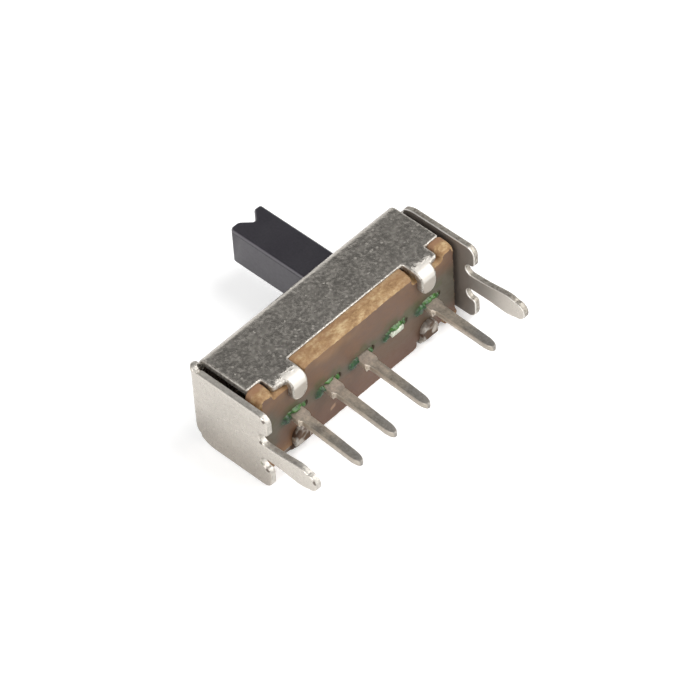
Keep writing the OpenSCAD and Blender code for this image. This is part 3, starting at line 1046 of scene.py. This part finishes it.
def build_case(settings):
    """The case, cut flat from sheet with its slot and folded up."""
    s, c = fixed_sizes(), in_mm(settings)
    loop, f = case_blank(s, c)
    outer = turned(clean(loop), True)
    slot_half = s["slider_mid"] + LEVER_WIDE / 2 + END_PLAY
    slot = rounded(box_loop(0, 0, 2 * slot_half, LEVER_THICK + 2 * SIDE_PLAY), 0.08)
    rings = broken_edge(-f["t"] / 2, f["t"] / 2, c["edge"], roll=c["roll"])
    # Inner points all over the blank, closer together where the lobe bulges.
    points = grid((-13, -6), (0.41, 0.37), (64, 33)) + grid((-6.42, 1.62), (0.047, 0.043), (15, 13))
    bm = slab([outer, slot], rings, [p for p in points if inside(p, outer) and not inside(p, slot)])
    for face in bm.faces:
        at = face.calc_center_median()
        if at.z > f["t"] / 2 - 0.7 * c["roll"] and abs(at.x) > f["half"]:
            face.material_index = 0
    n, lean_steps = 8, 5
    for axis, start, span in ((1, "v0", "bend"), (0, "u0", "bend"), (1, "tab_start", "tab_bend")):
        rows = [f[start] + f[span] * i / n for i in range(n + 1)]
        cut_rows(bm, axis, [m * row for m in (-1, 1) for row in rows])
    rows = [f["tab_start"] - SAG * i / lean_steps for i in range(1, lean_steps + 1)]
    cut_rows(bm, 1, [m * row for m in (-1, 1) for row in rows])
    place_all(bm, fold_up(s, f))
    metals = [sheet_metal(settings.plating), cut_metal()]
    piece(bm, "folded_case", metals, "housing", "case_metal", "case")


def board_parts(s, b, t):
    """The board's outline and, for each place, its recess and its slot."""
    half, h = s["board_half"], s["height"] / 2
    near, far = NOTCH_NEAR - b["play"], NOTCH_FAR + b["play"]
    deep = h - (NOTCH_DEEP + b["play"])
    quarter = [(near, h), (near, deep), (far, deep), (far, h), (half + b["ear_out"], h)]
    turns = [0.22, 0.06, 0.06, 0.34, b["corner"]]
    loop, radii = [], []
    for a, c in ((1, 1), (1, -1), (-1, -1), (-1, 1)):
        order = 1 if a == c else -1
        loop += [(a * p[0], c * p[1]) for p in quarter][::order]
        radii += turns[::order]
    outline = rounded(loop, radii, most=0.8)
    recesses, slots = [], []
    for place in PLACES:
        x = place * t["pitch"] + t["seat"]
        recesses.append(stadium(x, 0, b["recess"], b["recess_width"]))
        slots.append(
            box_loop(x, 0, t["neck"] + SLOT_IN_BOARD_PLAY, t["strip"] + SLOT_IN_BOARD_PLAY)
        )
    return outline, recesses, slots


def build_board(settings, terminals):
    """The laminate board, with a recess and a slot at each place and a torn edge."""
    s, b, t = fixed_sizes(), in_mm(settings), in_mm(terminals)
    outline, recesses, slots = board_parts(s, b, t)
    outline = spaced(turned(outline, True), 0.07)
    thick, torn = b["thickness"], b["torn"]

    def rough(u, v, w):
        """How far the punched edge breaks back: more towards the outer face, less below."""
        ragged = max(0.0, (w / thick - 0.35) / 0.65)
        low = held((-1.6 - v) / 0.3)
        ear = held((abs(u) - 4.7) / 0.2) * held((v - 1.6) / 0.2)
        large = noise.noise(Vector((u * 1.7, v * 1.7, w * 1.5 + 3)))
        middle = noise.noise(Vector((u * 6, v * 6, w * 5 + 9)))
        fine = noise.noise(Vector((u * 13, v * 13, w * 11 + 5)))
        base = torn * (0.45 + 0.25 * ear) * ragged ** 1.5 + 0.1 * ragged ** 4
        waves = ragged * (1 - 0.6 * low) * (0.035 * large + 0.04 * middle)
        return (base * (1 - 0.85 * low) + waves
                + (0.006 + 0.022 * ragged) * fine + 0.04 * ear * ragged * middle)

    bm = bmesh.new()
    heights = (0.03, 0.12, 0.3, 0.42, 0.52, 0.62, 0.7, 0.76, thick)
    outer = rows_of(bm, outline, [(0, 0.03)] + [(w, 0.0) for w in heights], rough)
    wall(bm, outer)
    tops, bottoms = [outer[-1]], [outer[0]]
    floor, lip = thick - b["recess_depth"], 0.02
    for recess, slot in zip(recesses, slots):
        upper = rows_of(bm, turned(recess, False), [(floor, 0), (thick - lip, 0), (thick, lip)])
        lower = rows_of(bm, turned(slot, False), [(0, lip), (lip, 0), (floor, 0)])
        wall(bm, upper, 0)
        wall(bm, lower)
        cap(bm, [upper[0][::-1], lower[-1]], floor)
        tops.append(upper[-1])
        bottoms.append(lower[0])
    flat = cap(bm, tops, thick) + cap(bm, bottoms, 0, flip=True)
    place_all(bm, lambda u, v, w: (u, s["rim"] - w, s["mid"] + v))
    piece(
        bm, "laminate_board",
        [laminate(settings.face, t["pitch"]), laminate_edge(settings.pulp)],
        "housing", "board_laminate", "terminal_board", flat=flat,
    )


def burr_loop(s, t, place):
    """The burr at the left of a neck's step."""
    wide, high = 0.17, 0.26
    x = place * t["pitch"] - t["neck"] / 2 + 0.075
    y = s["board_out"] - t["neck_length"] + 0.08
    return rounded(box_loop(x, y, wide, high), 0.075)


def lead_loop(s, t, place):
    """A terminal's right side from the blade down, its tip, and its left side back up."""
    x = place * t["pitch"]
    top, rim, out = s["rim"] + t["blade_height"], s["rim"], s["board_out"]
    neck, lead, tip, blade = (t[name] / 2 for name in ("neck", "lead", "tip", "blade"))
    past_cad, step_out, step_in, step_long = 0.05, 0.07, 0.12, 0.16
    y_neck, y_tip = out - t["neck_length"], s["lead_tip"] - past_cad
    # The rounded point: places across and along, in half widths of the tip.
    point = ((1.0, 2.1, 0.01), (0.93, 1.3, 0.0), (0.72, 0.62, 0.0), (0.4, 0.16, 0.0))
    side = [
        (x + blade, top), (x + blade, rim), (x + neck, rim),
        *arc(x + neck - step_out, y_neck + step_out, step_out, 0, -70, 3),
        *arc(x + lead + step_in, y_neck - step_long, step_in, 120, 180, 3),
        *((x + tip * a + more, y_tip + tip * b) for a, b, more in point),
    ]
    return side, (x, y_tip), [(2 * x - p[0], p[1]) for p in side][::-1]


def build_terminals(settings):
    """The terminals, stamped from strip, each bent a little its own way."""
    s, t = fixed_sizes(), in_mm(settings)
    metal = strip_metal(settings.tin)
    half = t["strip"] / 2
    rings = [(-half, 0.012), (-half + 0.012, 0.0), (half - 0.05, 0.0), (half - 0.02, 0.012),
             (half - 0.004, 0.03), (half, 0.045)]
    burr_rings = [(-half - BURR, 0.055), (-half - 0.10, 0.04), (-half - 0.03, 0.015),
                  (-half + 0.06, 0.0), (-half + 0.08, 0.01)]
    reach = s["board_out"] - s["lead_tip"]
    # Place, CAD node, name, lean and share of the droop of each lead.
    for place, node, title, lean, droop in (
        (-2, "terminal_1", "lead_1", t["lean_1"], 1.0),
        (-1, "terminal_2", "lead_2", t["lean_2"], 1.0),
        (0, "terminal_common", "lead_common", t["lean_3"], 0.7),
        (2, "terminal_3", "lead_3", t["lean_5"], -0.4),
    ):
        side, tip, other = lead_loop(s, t, place)
        loop = side + [tip] + other
        if place == 0:  # the common terminal's blade also has the cut-off stub beside it
            x = t["pitch"]
            top, rim, cut = s["rim"] + t["blade_height"], s["rim"], s["board_out"] - t["stub"]
            neck, blade = t["neck"] / 2, t["blade"] / 2
            stub = [(x + blade, top), (x + blade, rim), (x + neck, rim), (x + neck, cut),
                    (x - neck, cut), (x - neck, rim)]
            loop = stub + side[2:] + [tip] + other
        bm = slab([spaced(clean(loop), 0.3)], rings)
        spare = mesh_of(slab([burr_loop(s, t, place)], burr_rings), "Burr")
        bm.from_mesh(spare)
        bpy.data.meshes.remove(spare)

        def where(u, v, w, place=place, lean=lean, droop=droop):
            past = max(0.0, s["board_out"] - v) / reach
            if place == 0 and u > 1.0:
                past = 0
            bow = 0.02 * math.sin(past * 3.0)
            return u + t["seat"] - lean * past + bow, v, s["mid"] + w - t["droop"] * droop * past

        place_all(bm, where)
        piece(bm, title, [metal, metal], "housing", "terminal_metal", node)


def green_lumps(u, v, sizes, seed):
    """Height of the compound over the board's face, and how bright it is, beside a neck."""
    left, top, right = sizes

    def hill(du, dv, ru, rv):
        return math.exp(-(du / ru) ** 2 - (dv / rv) ** 2)

    p = Vector((u * 5.0, v * 6.5, seed))
    lump = noise.noise(p) + 0.6 * noise.noise(p * 2.2)
    body = left * hill(u + 0.57, v + 0.08, 0.25, 0.23)
    body += left * 0.6 * hill(u + 0.4, v - 0.1, 0.17, 0.1)
    band = top * hill(u, v - 0.20, 0.44, 0.09)
    end = right * hill(u - 0.47, v - 0.02, 0.17, 0.14)
    height = max(body, band, end) + 0.36 * lump - 0.32
    return height, (band + 0.5 * end) / (body + band + end + 0.05)


def build_sealants(settings, board, terminals):
    """The sealing compound in the board's recesses, with lumps round each neck."""
    s, b, t, k = fixed_sizes(), in_mm(board), in_mm(terminals), in_mm(settings)
    green = compound(settings.green)
    half_w, half_h = t["neck"] / 2, t["strip"] / 2
    # How much lies left of, above and right of each neck, from the first place to the last.
    spread = (
        (1.0, 0.9, 0.8), (1.0, 0.65, 0.8), (0.95, 0.1, 0.75), (0.7, 1.1, 0.6), (1.2, 1.1, 0.9)
    )
    rim_gap, neck_gap, step = 0.04, 0.03, 0.037
    for index, (place, sizes) in enumerate(zip(PLACES, spread), 1):
        x = place * t["pitch"] + t["seat"]
        outer = turned(spaced(stadium(x, 0, SEALANT_LONG, SEALANT_WIDE), 0.1), True)
        neck = turned(spaced(box_loop(x, 0, t["neck"], t["strip"]), 0.06), False)
        within = stadium(x, 0, SEALANT_LONG - rim_gap, SEALANT_WIDE - rim_gap)
        clear = box_loop(x, 0, t["neck"] + neck_gap, t["strip"] + neck_gap)
        points = grid((x - 0.957, -0.383), (step, step), (53, 22))
        bm = bmesh.new()
        outer_rows, neck_rows = (rows_of(bm, loop, [(0, 0), (1, 0)]) for loop in (outer, neck))
        wall(bm, outer_rows, 0)
        wall(bm, neck_rows, 0)
        cap(bm, [outer_rows[0], neck_rows[0]], 0, flip=True)
        cap(bm, [outer_rows[1], neck_rows[1]], 1,
            [p for p in points if inside(p, within) and not inside(p, clear)])
        thin = bm.verts.layers.float.new("thin")
        cover = bm.verts.layers.float.new("cover")
        for vert in bm.verts:
            u, v, w = vert.co
            away = math.hypot(max(0.0, abs(u - x) - half_w), max(0.0, abs(v) - half_h))
            height, bright = green_lumps(u - x, v, sizes, settings.seed + place)
            y = s["board_out"] + b["recess_depth"]
            if w > 0.5:
                rise = k["lumps"] * held(2.2 * height, -1.0, 1.3)
                climb = k["creep"] * math.exp(-away / 0.05) * held(2 * height)
                y = s["board_out"] + k["sunk"] - rise - climb
            vert[thin] = held(bright)
            vert[cover] = held(0.25 + 5 * height)
            vert.co = Vector((u, y, s["mid"] + v)) * MM
        piece(bm, f"sealing_{index}", [green], "housing", "sealant_green", f"sealant_{index}")


def build_slider(settings):
    """The moulded slider: a lever on a carriage that holds the contact in a pocket."""
    s, c = fixed_sizes(), in_mm(settings)
    x0, mid = s["slider_mid"], s["mid"]
    tip, w, n, off = s["lever_tip"] + 0.03, c["width"] / 2, c["notch"] / 2, c["notch_off"]
    root = s["front"] - 0.6  # well inside the carriage, which it is joined to
    bottom = (0.04 + off, tip - c["notch_depth"])
    loop = rounded(
        [(-w, root), (w, root), (w, tip), (n + off + 0.07, tip), bottom, (-n + off, tip),
         (-w, tip)],
        [0, 0, 0.14, 0.16, 0.12, 0.3, 0.22],
        7,
    )
    rings = broken_edge(-c["height"] / 2, c["height"] / 2, c["edge"], 4)
    # The parting seam is a shallow groove under the upper edge.
    seam, groove = c["height"] / 2 - c["edge"], 0.018
    lower_rings = len(rings) // 2
    rings[lower_rings:lower_rings] = [
        (seam - 0.075, 0.0), (seam - 0.06, groove), (seam - 0.04, groove), (seam - 0.025, 0.0)
    ]
    lever = slab([spaced(clean(loop), 0.5)], rings)
    place_all(lever, lambda u, v, z: (u + x0, v, mid + z + 0.02))
    bmesh.ops.recalc_face_normals(lever, faces=lever.faces[:])

    half, half_z = s["carriage_half"], s["carriage_half_z"]
    top, low = s["front"] - CARRIAGE_TOP, s["rail_low"]
    under = top - CARRIAGE_THICK
    section = [(-half_z, low), (-half_z + RAIL, low), (-half_z + RAIL, under),
               (half_z - RAIL, under), (half_z - RAIL, low), (half_z, low),
               (half_z, top), (-half_z, top)]
    carriage = slab([rounded(section, [0.09, 0.09, 0.05, 0.05, 0.09, 0.09, 0.1, 0.1], 2)],
                    broken_edge(-half, half, 0.05, 2))
    place_all(carriage, lambda u, v, z: (z + x0, v, mid + u))
    plastic = lever_plastic(settings.plastic)
    obj = piece(carriage, "lever_moulding", [plastic, plastic], "slider",
                "slider_plastic", "slider", weighted=False)

    pocket = bmesh.new()
    bmesh.ops.create_cube(pocket, size=1.0)
    pocket_low, pocket_top = under - 0.1, under + POCKET_DEEP
    place_all(pocket, lambda u, v, z: (
        x0 + u * 2 * POCKET_HALF,
        (pocket_low + pocket_top) / 2 + v * (pocket_top - pocket_low),
        mid + z * 2 * POCKET_HALF_Z,
    ))
    for bm, kind in ((lever, "UNION"), (pocket, "DIFFERENCE")):
        mesh = mesh_of(bm, "Tool")
        tool = bpy.data.objects.new("Tool", mesh)
        bpy.context.scene.collection.objects.link(tool)
        mod = obj.modifiers.new(kind.title(), "BOOLEAN")
        mod.operation = kind
        mod.solver = "EXACT"
        mod.object = tool
        bpy.context.view_layer.update()
        done = bpy.data.meshes.new_from_object(
            obj.evaluated_get(bpy.context.evaluated_depsgraph_get())
        )
        obj.modifiers.clear()
        obj.data = done
        bpy.data.objects.remove(tool)
        bpy.data.meshes.remove(mesh)
    obj.data.name = "lever_moulding"
    obj.modifiers.new("Weighted normals", "WEIGHTED_NORMAL").weight = 50


def build_contact():
    """The moving contact keeps its CAD shape; its edges are broken and it gets its metal."""
    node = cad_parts["moving_contact"]
    node.data.materials.clear()
    node.data.materials.append(contact_metal())
    node.modifiers.new("Weld", "WELD").merge_threshold = 1e-6
    bevel = node.modifiers.new("Bevel", "BEVEL")
    bevel.width = 0.02 * MM
    bevel.segments = 2
    bevel.limit_method = "ANGLE"
    node.modifiers.new("Weighted normals", "WEIGHTED_NORMAL")


# ---------------------------------------------------------------------- stage


def studio_world(scene, g):
    """A soft studio round the object; the camera itself sees plain white."""
    world = scene.world or bpy.data.worlds.new("Studio")
    scene.world = world
    world.use_nodes = True
    nodes, link = world.node_tree.nodes, world.node_tree.links.new
    nodes.clear()
    out, mixer, soft, plain, path, coord, split, ramp = (
        nodes.new("ShaderNode" + kind)
        for kind in ("OutputWorld", "MixShader", "Background", "Background", "LightPath",
                     "TexCoord", "SeparateXYZ", "ValToRGB")
    )
    stops_of(ramp, ((0.0, g.horizon), (0.42, g.horizon * 0.95), (0.62, g.zenith * 1.5),
                    (1.0, g.zenith)))
    plain.inputs["Color"].default_value = (1.0, 1.0, 1.0, 1.0)
    link(coord.outputs["Generated"], split.inputs[0])
    link(split.outputs["Z"], ramp.inputs["Fac"])
    link(ramp.outputs["Color"], soft.inputs["Color"])
    link(path.outputs["Is Camera Ray"], mixer.inputs[0])
    link(soft.outputs[0], mixer.inputs[1])
    link(plain.outputs[0], mixer.inputs[2])
    link(mixer.outputs[0], out.inputs[0])


def lay_floor(scene, size=1.5, gap=0.00002):
    """A white floor, a hair below the case."""
    mesh = bpy.data.meshes.new("Floor")
    mesh.from_pydata([(*corner, 0) for corner in box_loop(0, 0, 2 * size, 2 * size)],
                     [], [(0, 1, 2, 3)])
    mesh.materials.append(floor_paint())
    floor = bpy.data.objects.new("Floor", mesh)
    floor.location.z = -gap
    scene.collection.objects.link(floor)


def hang_lamps(scene, g, size=0.34, far=0.5):
    """Three round lamps at one distance from the case."""
    low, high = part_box("case")
    centre = Vector((0, (low.y + high.y) / 2, high.z / 2))
    for name, power, toward in (
        ("Key lamp", g.key, (-0.75, -0.15, 0.65)),
        ("Top lamp", g.top, (0.46, -0.30, 0.83)),
        ("Fill lamp", g.fill, (0.46, -0.78, 0.42)),
    ):
        light = bpy.data.lights.new(name, "AREA")
        light.shape = "DISK"
        light.size = size
        light.energy = power
        lamp = bpy.data.objects.new(name, light)
        direction = Vector(toward).normalized()
        lamp.location = centre + direction * far
        lamp.rotation_euler = direction.to_track_quat("Z", "Y").to_euler()
        scene.collection.objects.link(lamp)


def place_camera(scene, g):
    """The camera goes round its aim by azimuth and elevation, and then rolls."""
    az, el, roll = (math.radians(v) for v in (g.azimuth, g.elevation, g.roll))
    back = Vector((math.sin(az) * math.cos(el), -math.cos(az) * math.cos(el), math.sin(el)))
    right = (-back).cross(Vector((0, 0, 1))).normalized()
    up = right.cross(-back)
    across = math.cos(roll) * right + math.sin(roll) * up
    upward = -math.sin(roll) * right + math.cos(roll) * up
    aim = Vector((-0.119, -1.733, 2.429)) * MM
    camera = bpy.data.cameras.new("Camera")
    camera.sensor_width = 36
    camera.lens = g.lens
    camera.clip_start = 0.005
    view = bpy.data.objects.new("Camera", camera)
    turn = Matrix((across, upward, back)).transposed().to_4x4()
    view.matrix_world = Matrix.Translation(aim + back * g.distance) @ turn
    scene.collection.objects.link(view)
    scene.camera = view


def build_stage(g):
    scene = bpy.context.scene
    scene.view_settings.view_transform = "Standard"
    studio_world(scene, g)
    lay_floor(scene)
    hang_lamps(scene, g)
    place_camera(scene, g)


# ------------------------------------------------------------------ operators


class SWITCH_OT_case(bpy.types.Operator):
    """Builds the folded sheet case"""

    bl_idname = "slide_switch.case"
    bl_label = "Case"

    def execute(self, context):
        build_case(context.scene.switch_case)
        return {"FINISHED"}


class SWITCH_OT_board(bpy.types.Operator):
    """Builds the terminal board"""

    bl_idname = "slide_switch.board"
    bl_label = "Terminal board"

    def execute(self, context):
        build_board(context.scene.switch_board, context.scene.switch_terminals)
        return {"FINISHED"}


class SWITCH_OT_terminals(bpy.types.Operator):
    """Builds the terminals"""

    bl_idname = "slide_switch.terminals"
    bl_label = "Terminals"

    def execute(self, context):
        build_terminals(context.scene.switch_terminals)
        return {"FINISHED"}


class SWITCH_OT_sealants(bpy.types.Operator):
    """Builds the sealing compound round the terminals"""

    bl_idname = "slide_switch.sealants"
    bl_label = "Sealing compound"

    def execute(self, context):
        scene = context.scene
        build_sealants(scene.switch_sealants, scene.switch_board, scene.switch_terminals)
        return {"FINISHED"}


class SWITCH_OT_slider(bpy.types.Operator):
    """Builds the slider with its lever"""

    bl_idname = "slide_switch.slider"
    bl_label = "Slider"

    def execute(self, context):
        build_slider(context.scene.switch_slider)
        return {"FINISHED"}


class SWITCH_OT_contact(bpy.types.Operator):
    """Finishes the moving contact"""

    bl_idname = "slide_switch.contact"
    bl_label = "Moving contact"

    def execute(self, context):
        build_contact()
        return {"FINISHED"}


class SWITCH_OT_stage(bpy.types.Operator):
    """Sets up the floor, the studio light and the camera"""

    bl_idname = "slide_switch.stage"
    bl_label = "Stage"

    def execute(self, context):
        build_stage(context.scene.switch_stage)
        return {"FINISHED"}


class SWITCH_PT_panel(bpy.types.Panel):
    """Lists the pieces of the switch"""

    bl_idname = "SWITCH_PT_panel"
    bl_label = "Slide switch"
    bl_space_type = "VIEW_3D"
    bl_region_type = "UI"
    bl_category = "Slide switch"

    def draw(self, context):
        scene = context.scene
        for title, operator, group in (
            ("Case", "slide_switch.case", scene.switch_case),
            ("Board", "slide_switch.board", scene.switch_board),
            ("Terminals", "slide_switch.terminals", scene.switch_terminals),
            ("Sealing", "slide_switch.sealants", scene.switch_sealants),
            ("Slider", "slide_switch.slider", scene.switch_slider),
            ("Moving contact", "slide_switch.contact", None),
            ("Stage", "slide_switch.stage", scene.switch_stage),
        ):
            box = self.layout.box()
            box.label(text=title)
            if group:
                for name in group.__annotations__:
                    box.prop(group, name)
            box.operator(operator)


GROUPS = (
    (CaseSettings, "switch_case"),
    (BoardSettings, "switch_board"),
    (TerminalSettings, "switch_terminals"),
    (SealantSettings, "switch_sealants"),
    (SliderSettings, "switch_slider"),
    (StageSettings, "switch_stage"),
)
CLASSES = (
    SWITCH_OT_case,
    SWITCH_OT_board,
    SWITCH_OT_terminals,
    SWITCH_OT_sealants,
    SWITCH_OT_slider,
    SWITCH_OT_contact,
    SWITCH_OT_stage,
    SWITCH_PT_panel,
)


def register():
    for group, name in GROUPS:
        bpy.utils.register_class(group)
        setattr(bpy.types.Scene, name, PointerProperty(type=group))
    for cls in CLASSES:
        bpy.utils.register_class(cls)


def unregister():
    for cls in reversed(CLASSES):
        bpy.utils.unregister_class(cls)
    for group, name in reversed(GROUPS):
        delattr(bpy.types.Scene, name)
        bpy.utils.unregister_class(group)


def main():
    register()
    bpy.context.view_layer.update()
    bpy.ops.slide_switch.case()
    bpy.ops.slide_switch.board()
    bpy.ops.slide_switch.terminals()
    bpy.ops.slide_switch.sealants()
    bpy.ops.slide_switch.slider()
    bpy.ops.slide_switch.contact()
    bpy.ops.slide_switch.stage()


if __name__ == "__main__":
    main()
